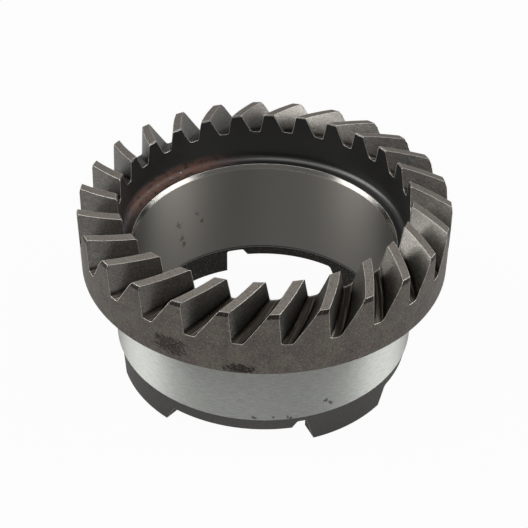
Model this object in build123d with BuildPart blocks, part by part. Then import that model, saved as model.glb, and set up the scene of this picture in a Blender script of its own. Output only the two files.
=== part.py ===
"""Spiral bevel gear with a claw-coupling hub, one piece of case-hardened alloy steel.

The toothed ring faces up. Its tooth spaces are cut by a face-mill head, a ring of
trapezoid blades that revolves about an axis square to the root cone, so the teeth curve
like the head. Under the ring a ground sleeve carries the gear in its bearing, and the
sleeve ends in four claws. Each claw has a steep driving face, a ramped back, and a relief
milled deeper at the foot of its driving face.

Millimetres, +Z up along the gear's axis, origin on the axis in the plane of the claw ends.
"""

import os
from math import cos, degrees, radians, sin, tan

from build123d import *

os.makedirs("parts", exist_ok=True)

# ---- Driving dimensions -------------------------------------------------------------

# Diameters
ring_diameter = 62.0
counterbore_diameter = 48.6
seat_diameter = 52.0
claw_band_diameter = 51.0
bore_diameter = 44.0
bore_relief_diameter = 44.5

# Heights above the claw ends
bore_bottom_height = 5.2
seat_bottom_height = 5.6
ring_underside_height = 20.5
counterbore_floor_height = 23.9
heel_tip_height = 32.2

# Teeth, with angles in degrees
tooth_count = 26
face_angle = 9.3  # rise of the tooth tips towards the axis
root_angle = 26.3  # rise of the tooth roots towards the axis
whole_depth = 5.85  # along the axis, at the heel
spiral_angle = 36.4  # at the middle of the face
first_space_azimuth = 5.2

# Face-mill head: its inside blades cut the convex flanks, its outside blades the concave
cutter_diameter = 76.2
blade_point_width = 1.35
blade_edge_radius = 0.4
inside_blade_angle = 22.5
outside_blade_angle = 14.2

# Claws, with angles in degrees
claw_count = 4
claw_height = 3.3
claw_span = 32.0  # flat end of a claw, round the axis
claw_ramp_angle = 28.0  # from the axis
first_driving_face_azimuth = 18.8
driving_face_lean = 17.0  # at the outside, the inner edge standing upright
relief_depth = 1.25  # above the floor between the claws
relief_inner_width = 4.0
relief_outer_width = 3.4
relief_back_run = 0.9  # how far the sloping back of the relief reaches

# Edges
heel_chamfer_width = 0.2
heel_chamfer_height = 0.8
toe_chamfer = 0.2
ring_edge_radius = 0.3
seat_root_radius = 0.8
seat_chamfer = 0.3
counterbore_corner_radius = 1.0
bore_chamfer_width = 0.5
bore_chamfer_height = 0.75
relief_corner_radius = 0.4
ramp_foot_radius = 0.8

# ---- Sizes that follow --------------------------------------------------------------

ring_radius = ring_diameter / 2
counterbore_radius = counterbore_diameter / 2
seat_radius = seat_diameter / 2
claw_band_radius = claw_band_diameter / 2
bore_radius = bore_diameter / 2
bore_relief_radius = bore_relief_diameter / 2

heel_tip_radius = ring_radius - heel_chamfer_width
tip_rise = (heel_tip_radius - counterbore_radius) * tan(radians(face_angle))
toe_tip_height = heel_tip_height + tip_rise

# ---- Blank: the turned body, before any tooth or claw is cut --------------------------

with BuildPart() as spiral_bevel_gear:
    with BuildSketch(Plane.XZ) as half_section:
        with BuildLine():
            Polyline(
                (bore_relief_radius, 0),
                (claw_band_radius, 0),
                (claw_band_radius, seat_bottom_height),
                (seat_radius, seat_bottom_height),
                (seat_radius, ring_underside_height),
                (ring_radius, ring_underside_height),
                (ring_radius, heel_tip_height - heel_chamfer_height),
                (heel_tip_radius, heel_tip_height),
                (counterbore_radius, toe_tip_height),
                (counterbore_radius, counterbore_floor_height),
                (bore_radius + bore_chamfer_width, counterbore_floor_height),
                (bore_radius, counterbore_floor_height - bore_chamfer_height),
                (bore_radius, bore_bottom_height),
                (bore_relief_radius, bore_bottom_height),
                close=True,
            )
        make_face()

        def corner(radius, height):
            """The corner of the half section at this radius and height."""
            return half_section.vertices().sort_by_distance((radius, height))[0]

        chamfer(corner(counterbore_radius, toe_tip_height), toe_chamfer)
        fillet(corner(ring_radius, ring_underside_height), ring_edge_radius)
        fillet(corner(seat_radius, ring_underside_height), seat_root_radius)
        chamfer(corner(seat_radius, seat_bottom_height), seat_chamfer)
        fillet(corner(counterbore_radius, counterbore_floor_height), counterbore_corner_radius)
    revolve(axis=Axis.Z)

# ---- Tooth space: the path of the face-mill blades -----------------------------------

# The head lies flat on the root cone at the middle of the face. There these directions
# point up the root line, around the gear, and square out of the root surface.
root_slope = radians(root_angle)
spiral = radians(spiral_angle)
up_root = Vector(-cos(root_slope), 0, sin(root_slope))
around = Vector(0, 1, 0)
out_of_root = Vector(sin(root_slope), 0, cos(root_slope))
across_space = around * cos(spiral) - up_root * sin(spiral)

face_width = ring_radius - counterbore_radius
mid_face_radius = ring_radius - face_width / 2
mid_root_height = heel_tip_height - whole_depth + face_width / 2 * tan(root_slope)
mid_root = Vector(mid_face_radius, 0, mid_root_height)
cutter_radius = cutter_diameter / 2
cutter_centre = mid_root - across_space * cutter_radius
cutter_axis = Axis(cutter_centre, out_of_root)

blade_height = whole_depth + 2.0
inner_point = cutter_radius - blade_point_width / 2
outer_point = cutter_radius + blade_point_width / 2
inside_flare = blade_height * tan(radians(inside_blade_angle))
outside_flare = blade_height * tan(radians(outside_blade_angle))
cutting_arc = 40.0  # degrees of the head, more than pass through the ring at once

# The blades pass through the ring along the middle of this arc
first_blade = across_space.rotate(Axis((0, 0, 0), out_of_root), -cutting_arc / 2)
blade_plane = Plane(
    origin=cutter_centre,
    x_dir=first_blade,
    z_dir=first_blade.cross(out_of_root),
)

with BuildPart() as tooth_space:
    with BuildSketch(blade_plane) as blade:
        with BuildLine():
            Polyline(
                (inner_point, 0),
                (outer_point, 0),
                (outer_point + outside_flare, blade_height),
                (inner_point - inside_flare, blade_height),
                close=True,
            )
        make_face()
        fillet(blade.vertices().group_by(Axis.Y)[0], blade_edge_radius)
    revolve(axis=cutter_axis, revolution_arc=cutting_arc)

with spiral_bevel_gear:
    with PolarLocations(0, tooth_count, start_angle=first_space_azimuth):
        add(tooth_space.part, mode=Mode.SUBTRACT)

# ---- Claw gap: what is milled away between one claw and the next ----------------------

# The gap is made with the driving face that closes it at azimuth 0. The claw before it
# ends one claw pitch earlier, so the gap runs anticlockwise from that claw's ramp.
claw_pitch = 360 / claw_count
ramp_azimuth = claw_span - claw_pitch
ramp_slant = tan(radians(claw_ramp_angle))
ramp_run = claw_height * ramp_slant
face_pivot_height = claw_height / 3

cut_start = -1.0  # every cut begins this far under the claw ends
cut_inside = bore_radius - 1.5
cut_outside = claw_band_radius + 0.5


def plane_facing_out(azimuth, radius):
    """Plane square to a radius, with local x around the gear and local y up."""
    turn = radians(azimuth)
    outward = Vector(cos(turn), sin(turn), 0)
    return Plane(origin=outward * radius, x_dir=(-sin(turn), cos(turn), 0), z_dir=outward)


def half_plane(azimuth):
    """Plane through the axis, with local x outward and local y up."""
    turn = radians(azimuth)
    return Plane(origin=(0, 0, 0), x_dir=(cos(turn), sin(turn), 0), z_dir=(sin(turn), -cos(turn), 0))


def relief_outline(radius):
    """Relief and driving face as they are cut on the plane at this radius."""
    share = (radius - bore_relief_radius) / (claw_band_radius - bore_relief_radius)
    width = relief_inner_width + share * (relief_outer_width - relief_inner_width)
    lean = share * tan(radians(driving_face_lean))
    ceiling = claw_height + relief_depth
    return [
        (lean * (face_pivot_height - cut_start), cut_start),
        (lean * (face_pivot_height - ceiling), ceiling),
        (relief_back_run - width, ceiling),
        (-width, claw_height),
        (-width, cut_start),
    ]


with BuildPart() as claw_gap:
    # Ramp behind the claw before, rounded into the floor
    with BuildSketch(plane_facing_out(ramp_azimuth, cut_inside)) as ramp:
        with BuildLine():
            Polyline(
                (cut_start * ramp_slant, cut_start),
                (ramp_run, claw_height),
                (ramp_run + claw_height, claw_height),
                (ramp_run + claw_height, cut_start),
                close=True,
            )
        make_face()
        foot = ramp.vertices().sort_by_distance((ramp_run, claw_height))[0]
        fillet(foot, ramp_foot_radius)
    extrude(amount=cut_outside - cut_inside)

    # Flat floor from the ramp to the relief
    floor_start = ramp_azimuth + degrees((ramp_run + claw_height / 2) / claw_band_radius)
    floor_end = -degrees(relief_outer_width / 2 / claw_band_radius)
    with BuildSketch(half_plane(floor_start)):
        with Locations(((cut_inside + cut_outside) / 2, (cut_start + claw_height) / 2)):
            Rectangle(cut_outside - cut_inside, claw_height - cut_start)
    revolve(axis=Axis.Z, revolution_arc=floor_end - floor_start)

    # Relief, wider at the bore, and the driving face, twisted from upright to leaning
    for radius in (cut_inside, cut_outside):
        with BuildSketch(plane_facing_out(0, radius)) as relief:
            with BuildLine():
                Polyline(*relief_outline(radius), close=True)
            make_face()
            fillet(relief.vertices().group_by(Axis.Y)[-1], relief_corner_radius)
    loft()

with spiral_bevel_gear:
    with PolarLocations(0, claw_count, start_angle=first_driving_face_azimuth):
        add(claw_gap.part, mode=Mode.SUBTRACT)

# ---- The finished piece -------------------------------------------------------------

spiral_bevel_gear.part.label = "spiral_bevel_gear"
export_step(spiral_bevel_gear.part, "parts/spiral_bevel_gear.step")
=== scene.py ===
"""Spiral bevel gear with a claw-coupling hub, finished for its render.

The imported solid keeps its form. This script gives its one piece of steel the finish of each
turned, ground and face-milled surface, and sets a camera, a pale floor and soft light.
Lengths in the shaders are millimetres, and Blender's own units are metres.
"""

from math import cos, e, radians, sin, tan

import bpy
from mathutils import Matrix, Vector


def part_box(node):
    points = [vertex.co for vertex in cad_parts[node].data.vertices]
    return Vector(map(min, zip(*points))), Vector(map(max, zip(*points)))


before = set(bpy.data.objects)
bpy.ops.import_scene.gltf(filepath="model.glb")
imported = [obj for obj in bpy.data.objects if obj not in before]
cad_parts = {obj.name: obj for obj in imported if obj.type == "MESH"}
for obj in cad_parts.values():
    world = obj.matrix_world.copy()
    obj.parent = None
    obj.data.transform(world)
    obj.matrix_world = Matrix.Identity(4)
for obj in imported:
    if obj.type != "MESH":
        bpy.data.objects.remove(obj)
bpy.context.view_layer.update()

# ---- Camera ---------------------------------------------------------------------------
# A long lens looks down on the gear from in front, so that the teeth, the bore and the
# ground seat all show. It aims at the axis, a little above half of the gear's height.

low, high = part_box("spiral_bevel_gear")
gear_height = high.z - low.z
gear_radius = (high.x - low.x) / 2

aim = Vector((0, 0, 0.5368 * gear_height))
camera_distance = 6.69 * gear_radius
camera_pitch = radians(37.559)
camera_roll = radians(0.607)
camera_lens = 81.71
film_width = 36.0

away = Vector((0, -cos(camera_pitch), sin(camera_pitch)))
camera = bpy.data.objects.new("camera", bpy.data.cameras.new("camera"))
camera.data.lens = camera_lens
camera.data.sensor_width = film_width
camera.data.clip_start = 0.01
look = away.to_track_quat("Z", "Y").to_matrix() @ Matrix.Rotation(camera_roll, 3, "Z")
camera.matrix_world = Matrix.Translation(aim + away * camera_distance) @ look.to_4x4()
bpy.context.scene.collection.objects.link(camera)
bpy.context.scene.camera = camera
bpy.context.scene.view_settings.view_transform = "Standard"

# ---- The steel: one forging, one material ---------------------------------------------
# Case-hardened alloy steel, forged, turned and face-milled, then hardened and ground only
# where it runs in its bearing and on its sleeve. Every surface below is one zone of it.


class Shade:
    """A socket of a material's nodes, on which arithmetic adds Math nodes."""

    def __init__(self, tree, socket=None):
        self.tree = tree
        self.socket = socket

    def node(self, kind, settings=None, sockets=None, out=0):
        """A new node: its settings first, then its sockets' values or links."""
        made = self.tree.nodes.new("ShaderNode" + kind)
        for name, value in (settings or {}).items():
            setattr(made, name, value)
        for name, value in (sockets or {}).items():
            if isinstance(value, Shade):
                self.tree.links.new(value.socket, made.inputs[name])
            else:
                made.inputs[name].default_value = value
        return Shade(self.tree, made.outputs[out] if made.outputs else None)

    def output(self, name):
        """Another output of the node that this socket is on."""
        return Shade(self.tree, self.socket.node.outputs[name])

    def maths(self, operation, *values):
        """A Math node of this operation on these values."""
        return self.node("Math", {"operation": operation}, dict(enumerate(values)))

    def __add__(self, other):
        return self.maths("ADD", self, other)

    def __sub__(self, other):
        return self.maths("SUBTRACT", self, other)

    def __mul__(self, other):
        return self.maths("MULTIPLY", self, other)

    def __truediv__(self, other):
        return self.maths("DIVIDE", self, other)

    def __rsub__(self, other):
        return self.maths("SUBTRACT", other, self)

    def __rtruediv__(self, other):
        return self.maths("DIVIDE", other, self)

    def __pow__(self, other):
        return self.maths("POWER", self, other)

    __radd__ = __add__
    __rmul__ = __mul__

    def step(self, start, end):
        """0 at start and 1 at end, smooth between them. Start may be the larger."""
        settings = {"interpolation_type": "SMOOTHSTEP"}
        return self.node("MapRange", settings, {"Value": self, "From Min": start, "From Max": end})

    def between(self, start, end, edge=0.03):
        """1 from start to end and 0 outside, with edges this soft."""
        return self.step(start - edge, start + edge) * self.step(end + edge, end - edge)

    def blend(self, first, second):
        """The first colour where this is 0 and the second where it is 1."""
        return self.node("Mix", {"data_type": "RGBA"}, {0: self, 6: first, 7: second}, out=2)

    def noise(self, scale, detail=3.0, roughness=0.55):
        """Soft noise from 0 to 1, with this place or mix of coordinates as its vector."""
        sockets = {"Vector": self, "Scale": scale, "Detail": detail, "Roughness": roughness}
        return self.node("TexNoise", None, sockets)


def rgb(red, green, blue):
    """A colour given in display values from 0 to 255, as the linear one that nodes take."""
    shown = [value / 255 for value in (red, green, blue)]
    linear = [v / 12.92 if v < 0.0404 else ((v + 0.055) / 1.055) ** 2.4 for v in shown]
    return (*linear, 1.0)


steel = bpy.data.materials.new("case_hardened_steel")
steel.use_nodes = True
steel.node_tree.nodes.clear()
metal = Shade(steel.node_tree)

mm = 0.001

place_in_metres = metal.node("TexCoord", out="Object")
place = metal.node("VectorMath", {"operation": "SCALE"}, {0: place_in_metres, "Scale": 1 / mm})
split = place.node("SeparateXYZ", None, {0: place})
x = split.output("X")
y = split.output("Y")
z = split.output("Z")
radius = (x * x + y * y) ** 0.5
azimuth = metal.maths("ARCTAN2", y, x)
facing = metal.node("NewGeometry", out="Normal")
facing_split = metal.node("SeparateXYZ", None, {0: facing})
facing_x = facing_split.output("X")
facing_y = facing_split.output("Y")
facing_z = facing_split.output("Z")
facing_out = (facing_x * x + facing_y * y) / radius

# Grain of the hardened skin, clouds of tone, and mottle for dirt and rust
grain = place.noise(3.2, 4.0, 0.75)
clouds = place.noise(0.35, 3.0)
mottle = place.noise(1.3, 5.0, 0.65)

# ---- Toothed ring: outer wall and face cone -------------------------------------------
# Turned before hardening and left as the furnace leaves it, a warm dull grey with a fine
# grain. The lands of the teeth lie on the face cone, a shade paler from handling.

ring_radius = gear_radius / mm
ring_foot = 20.5
heel_height = 32.2
face_slope = tan(radians(9.3))
ring_grey = rgb(127, 122, 112)
ring_dark = rgb(114, 105, 103)
land_grey = rgb(166, 158, 150)

above_cone = z + (radius - ring_radius) * face_slope - heel_height
on_land = above_cone.between(-0.12, 0.6) * facing_z.step(0.9, 0.97)
colour = (clouds * 0.6 + mottle * 0.4).step(0.35, 0.65).blend(ring_dark, ring_grey)
colour = on_land.blend(colour, land_grey)
rough = 0.47 + (mottle - 0.5) * 0.16

# ---- Tooth flanks and slot roots ------------------------------------------------------
# Cut by the face-mill blades, which leave fine lines along each flank. Oil and wear make
# them glossier than the wall. The roots and the foot of each flank are painted dark, partly
# as dirt and partly as painted shade deep in the slots.

counterbore_radius = 24.3
tooth_depth = 5.85
root_slope = tan(radians(26.3))
root_height = heel_height - tooth_depth
middle_radius = (ring_radius + counterbore_radius) / 2
spiral_slope = tan(radians(36.4))
heel_chamfer_width = 0.2
heel_chamfer_height = 0.8
flank_grey = rgb(124, 121, 116)
cutter_pale = rgb(168, 164, 158)
root_dirt_and_painted_shade = rgb(52, 47, 42)
root_pale = rgb(120, 114, 106)
heel_chamfer_painted_shade = rgb(62, 57, 53)

in_teeth = z.step(24.9, 25.3)
in_teeth = in_teeth * radius.step(counterbore_radius + 0.1, counterbore_radius + 0.3)
in_teeth = in_teeth * radius.step(ring_radius - 0.02, ring_radius - 0.1)
above_root = z - (root_height + (ring_radius - radius) * root_slope)
on_flank = in_teeth * (1 - on_land)
in_root = on_flank * above_root.step(1.5, 0.1)
on_side = on_flank * (1 - in_root)
cutter_lines = metal.node("CombineXYZ", None, {0: radius * 0.25, 1: azimuth * 6.0, 2: above_root * 5.0})
lines = cutter_lines.noise(2.2, 3.0)

# Taking the spiral's own turn out of the azimuth makes these lines follow the space
spiral_turn = metal.maths("LOGARITHM", radius / middle_radius, e) * spiral_slope
unwound = azimuth + spiral_turn
root_place = metal.node("CombineXYZ", None, {0: unwound * 60.0, 1: radius * 0.08, 2: 0.0})
root_lines = root_place.noise(1.5, 3.0, 0.6)

colour = on_flank.blend(colour, flank_grey)
# Painted shade with some dirt: the roots and the foot of each flank are darkened
colour = (in_root * (0.75 + mottle * 0.3)).step(0.0, 0.85).blend(colour, root_dirt_and_painted_shade)
colour = (in_root * root_lines.step(0.50, 0.64) * 0.5).blend(colour, root_pale)
colour = (on_side * lines.step(0.50, 0.66) * 0.4).blend(colour, cutter_pale)
# Painted shade: the heel chamfer is coloured dark for the way it faces the light
chamfer_foot = heel_height - heel_chamfer_height + 0.02
chamfer_start = ring_radius - heel_chamfer_width - 0.04
on_heel_chamfer = radius.step(chamfer_start, chamfer_start + 0.06) * (1 - on_land)
on_heel_chamfer = on_heel_chamfer * z.between(chamfer_foot, heel_height - 0.05, 0.05)
colour = on_heel_chamfer.blend(colour, heel_chamfer_painted_shade)
rough = rough - on_flank * 0.06 + (lines - 0.5) * on_side * 0.14

# ---- Counterbore: wall, rounded corner and floor --------------------------------------
# Turned smooth, and painted dark as the shade inside this recess. Its rounded corner catches
# the light in a ring, and rust has bitten into the left half of that corner.

bore_radius = 22.0
counterbore_floor = 23.9
bore_chamfer_width = 0.5
bore_chamfer_height = 0.75
bore_top = counterbore_floor - bore_chamfer_height
counterbore_painted_shade = rgb(88, 88, 87)
rust_brown = rgb(104, 74, 63)

in_counterbore = radius.step(counterbore_radius + 0.12, counterbore_radius + 0.06)
in_counterbore = in_counterbore * z.step(bore_top - 0.05, bore_top + 0.05) * (1 - on_land)
# Painted shade: the counterbore's wall, corner and floor are coloured dark for the recess
colour = in_counterbore.blend(colour, counterbore_painted_shade)
floor_edge = bore_radius + bore_chamfer_width + 0.1
corner_rust = z.step(counterbore_floor + 2.7, counterbore_floor + 1.1)
corner_rust = corner_rust * azimuth.between(1.85, 2.95, 0.25) * radius.step(floor_edge, floor_edge + 0.4)
corner_rust = corner_rust * in_counterbore * mottle.step(0.36, 0.50)
rough = rough - in_counterbore * 0.08

# ---- Bore -----------------------------------------------------------------------------
# Honed to run on the tool-holder sleeve, with a chamfer at its mouth and a relieved band
# at its foot, painted dark as shade. Small stains mark the far left of it.

bore_foot = 5.2
bore_grey = rgb(154, 151, 145)
relief_painted_shade = rgb(72, 70, 67)
stain_dark = rgb(70, 64, 58)
mouth_grey = rgb(152, 149, 144)


def spot(turn, height, size):
    """A ragged mark on the nearest turned wall, this many degrees round and this high."""
    along = (azimuth - radians(turn)) * radius
    apart = (along * along + (z - height) * (z - height)) ** 0.5
    return (apart + (mottle - 0.5) * 3.0).step(size, size * 0.6)


in_bore = radius.between(bore_radius - 0.3, bore_radius + 0.18, 0.04)
in_bore = in_bore * z.between(bore_foot, bore_top + 0.05)
in_relief = radius.step(bore_radius + 0.5, bore_radius + 0.4) * z.step(bore_foot + 0.1, bore_foot - 0.1)
colour = in_bore.blend(colour, bore_grey)
# Painted shade: the relieved band at the foot of the bore is coloured dark
colour = in_relief.blend(colour, relief_painted_shade)
bore_stains = spot(136, 14.8, 0.55) + spot(134, 11.5, 0.6) + spot(133, 10.2, 0.5)
bore_stains = (bore_stains + spot(125, 15.8, 0.5) + spot(122, 13.6, 0.5)) * in_bore
colour = (bore_stains * 0.55).blend(colour, stain_dark)
mouth_radius = bore_radius + bore_chamfer_width
on_mouth = radius.step(mouth_radius + 0.06, mouth_radius)
on_mouth = on_mouth * z.between(bore_top - 0.02, counterbore_floor - 0.04, 0.04)
colour = on_mouth.blend(colour, mouth_grey)
rough = rough - on_mouth * 0.2

# ---- Bearing seat ---------------------------------------------------------------------
# Ground bright between the ring and the claws to run in a bearing. The wheel leaves fine
# lines around it, and use has left a few pits.

seat_radius = 26.0
seat_low = 5.6
seat_high = ring_foot - 0.05
seat_grey = rgb(206, 208, 203)
seat_dull = rgb(156, 157, 153)
pit_dark = rgb(84, 76, 68)

on_seat = radius.between(seat_radius - 0.45, seat_radius + 0.2, 0.05)
on_seat = on_seat * z.between(seat_low, seat_high) * facing_out.step(0.4, 0.7)
grind_place = metal.node("CombineXYZ", None, {0: azimuth * 15.0, 1: z * 6.5, 2: 0.0})
grind = grind_place.noise(1.0, 4.0, 0.7)
flecks = place.noise(4.5, 2.0, 0.6)
dull = grind.step(0.38, 0.62) * 0.42 + flecks.step(0.60, 0.66) * 0.3
pits = spot(-67, 8.6, 0.34) + spot(-65, 7.6, 0.3) + spot(-86, 6.6, 0.32)
pits = (pits + spot(-93, 6.4, 0.3) + spot(-80, 6.3, 0.34)) * on_seat
colour = on_seat.blend(colour, seat_grey)
colour = (dull * on_seat).blend(colour, seat_dull)
colour = (pits * 0.75).blend(colour, pit_dark)

# ---- Claws ----------------------------------------------------------------------------
# Milled into the end of the hub and hardened with it, so they keep a matt dark skin.

claw_grey = rgb(106, 105, 103)

on_claws = z.step(seat_low + 0.05, seat_low - 0.05) * (1 - in_relief) * (1 - on_seat)
colour = on_claws.blend(colour, claw_grey)

# ---- Rust -----------------------------------------------------------------------------
# Two patches of dark, slanting strokes have bitten into the lower front left of the ring's
# wall. The rust in the counterbore's corner is browner.

stroke_slant = radians(-32)
rust_black = rgb(30, 24, 22)
rust_dark = rgb(58, 44, 40)

on_wall = radius.step(ring_radius - 0.1, ring_radius - 0.04) * z.step(ring_foot - 0.1, ring_foot + 0.1)
along_wall = azimuth * ring_radius
stroke_along = along_wall * cos(stroke_slant) + z * sin(stroke_slant)
stroke_across = z * cos(stroke_slant) - along_wall * sin(stroke_slant)
stroke_place = metal.node("CombineXYZ", None, {0: stroke_along * 1.1, 1: stroke_across * 3.2, 2: 0.0})
streaks = stroke_place.noise(1.0, 5.0, 0.7)
first_patch = azimuth.between(-2.15, -1.95, 0.09) * z.between(21.6, 25.2, 1.0)
second_patch = azimuth.between(-1.77, -1.60, 0.08) * z.between(20.4, 22.5, 0.8)
wall_rust = on_wall * (streaks + (first_patch + second_patch) * 0.34).step(0.70, 0.75)
rust = metal.maths("MINIMUM", corner_rust + wall_rust, 1.0)
wall_rust_colour = mottle.step(0.35, 0.6).blend(rust_black, rust_dark)
colour = rust.blend(colour, corner_rust.blend(wall_rust_colour, rust_brown))

# ---- Worn, highlighted edges and speckle ----------------------------------------------
# The sharp edges and the ring's lower rim are painted bright, partly as wear from handling
# and partly as a painted highlight. Pale and dark specks are left in the hardened skin
# wherever it was not ground or turned smooth.

edge_rounding = 0.12 * mm
wear_and_highlight_bright = rgb(240, 236, 228)
speck_pale = rgb(200, 193, 184)
speck_dark = rgb(58, 53, 49)

rounded = metal.node("Bevel", {"samples": 6}, {"Radius": edge_rounding})
dot_sockets = {0: rounded, 1: facing}
still_flat = metal.node("VectorMath", {"operation": "DOT_PRODUCT"}, dot_sockets, out="Value")
edge = (1 - still_flat).step(0.012, 0.09)
on_rim = radius.step(ring_radius - 0.4, ring_radius - 0.3)
on_rim = on_rim * z.step(ring_foot + 0.16, ring_foot + 0.1) * z.step(ring_foot - 0.2, ring_foot - 0.1)
# Painted highlight together with wear: the edges and the ring's lower rim are made bright
edge_wear_and_highlight = ((edge + on_rim * 0.7) * (0.5 + grain * 0.8) * (1 - rust)).step(0.0, 0.7)
colour = edge_wear_and_highlight.blend(colour, wear_and_highlight_bright)
speckled = (1 - on_seat) * (1 - in_bore) * (1 - in_counterbore) * (1 - in_root) * (1 - on_claws * 0.75)
colour = (grain.step(0.55, 0.66) * speckled * 0.38).blend(colour, speck_pale)
colour = (grain.step(0.46, 0.35) * speckled * 0.55).blend(colour, speck_dark)

# ---- Surface of the steel -------------------------------------------------------------
# One skin covers all but the ground seat and the honed bore, whose fine lines run around
# the axis and so spread the light up and down. Grain, lines and rust stand up a little.

bump_height = 0.06 * mm

height = grain * 0.5 * (1 - on_seat * 0.85) * (1 - in_bore * 0.85) + mottle * 0.3
height = height + lines * on_side * 0.6 + grind * on_seat * 0.18 + rust * streaks * 1.2
bump_sockets = {"Strength": 0.32, "Distance": bump_height, "Height": height, "Normal": rounded}
bump = metal.node("Bump", None, bump_sockets)

skin_sockets = {
    "Base Color": colour,
    "Metallic": 1.0 - rust * 0.9 - edge_wear_and_highlight * 0.5,
    "Roughness": rough + rust * 0.3,
    "Normal": bump,
}
skin = metal.node("BsdfPrincipled", None, skin_sockets)
ground_sockets = {
    "Base Color": colour,
    "Metallic": 1.0,
    "Roughness": 0.5 + (grind - 0.5) * 0.16,
    "Anisotropic": 0.85,
    "Anisotropic Rotation": 0.25,
    "Normal": bump,
}
ground = metal.node("BsdfPrincipled", None, ground_sockets)
surface = metal.node("MixShader", None, {0: on_seat + in_bore, 1: skin, 2: ground})
metal.node("OutputMaterial", None, {"Surface": surface})

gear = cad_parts["spiral_bevel_gear"]
for material_slot in gear.material_slots:
    material_slot.material = steel

# ---- Floor ----------------------------------------------------------------------------
# A wide pale sheet under the claws. It shows white to the eye and in the metal, and keeps
# a share of the gear's own shadow.

floor_half_width = 40 * gear_radius
floor_gap = 0.02 * mm
floor_mesh = bpy.data.meshes.new("floor")
corners = [(-1, -1), (1, -1), (1, 1), (-1, 1)]
points = [(a * floor_half_width, b * floor_half_width, low.z - floor_gap) for a, b in corners]
floor_mesh.from_pydata(points, [], [(0, 1, 2, 3)])
floor = bpy.data.objects.new("floor", floor_mesh)
bpy.context.scene.collection.objects.link(floor)

paper_grey = (0.38, 0.38, 0.38, 1.0)
white = (1.0, 1.0, 1.0, 1.0)
paper = bpy.data.materials.new("paper")
paper.use_nodes = True
paper.node_tree.nodes.clear()
sheet = Shade(paper.node_tree)
ray_kind = sheet.node("LightPath")
camera_ray = ray_kind.output("Is Camera Ray")
glossy_ray = ray_kind.output("Is Glossy Ray")
plain = sheet.node("BsdfDiffuse", None, {"Color": paper_grey})
shining = sheet.node("Emission", None, {"Color": white, "Strength": 1.0})
share = camera_ray * 0.96 + glossy_ray * 0.15
mixed = sheet.node("MixShader", None, {0: share, 1: plain, 2: shining})
sheet.node("OutputMaterial", None, {"Surface": mixed})
floor_mesh.materials.append(paper)

# ---- Light ----------------------------------------------------------------------------
# A pale room, a tall soft box square to each side of the gear and a weaker one overhead,
# a little to the left. The side boxes show as two bands on the turned walls.

room = bpy.data.worlds.new("room")
bpy.context.scene.world = room
room.use_nodes = True
room.node_tree.nodes.clear()
air = Shade(room.node_tree)
seen = air.node("LightPath").output("Is Camera Ray")
strength = 0.26 + seen * 0.74
backdrop = air.node("Background", None, {"Color": white, "Strength": strength})
air.node("OutputWorld", None, {"Surface": backdrop})


def soft_box(name, turn, rise, distance, width, height, power):
    """An area lamp aimed at the gear, from this many degrees round from the camera and up."""
    lamp = bpy.data.lights.new(name, "AREA")
    lamp.shape = "RECTANGLE"
    lamp.size = width
    lamp.size_y = height
    lamp.energy = power
    level = cos(radians(rise))
    out = Vector((sin(radians(turn)) * level, -cos(radians(turn)) * level, sin(radians(rise))))
    turned = out.to_track_quat("Z", "Y").to_matrix().to_4x4()
    box = bpy.data.objects.new(name, lamp)
    box.matrix_world = Matrix.Translation(aim + out * distance) @ turned
    bpy.context.scene.collection.objects.link(box)


for side, turn in (("left", -90), ("right", 90)):
    soft_box(side + "_box", turn, rise=27, distance=0.6, width=0.42, height=0.6, power=3.1)
soft_box("top_box", turn=-30, rise=70, distance=0.7, width=0.5, height=0.5, power=1.3)
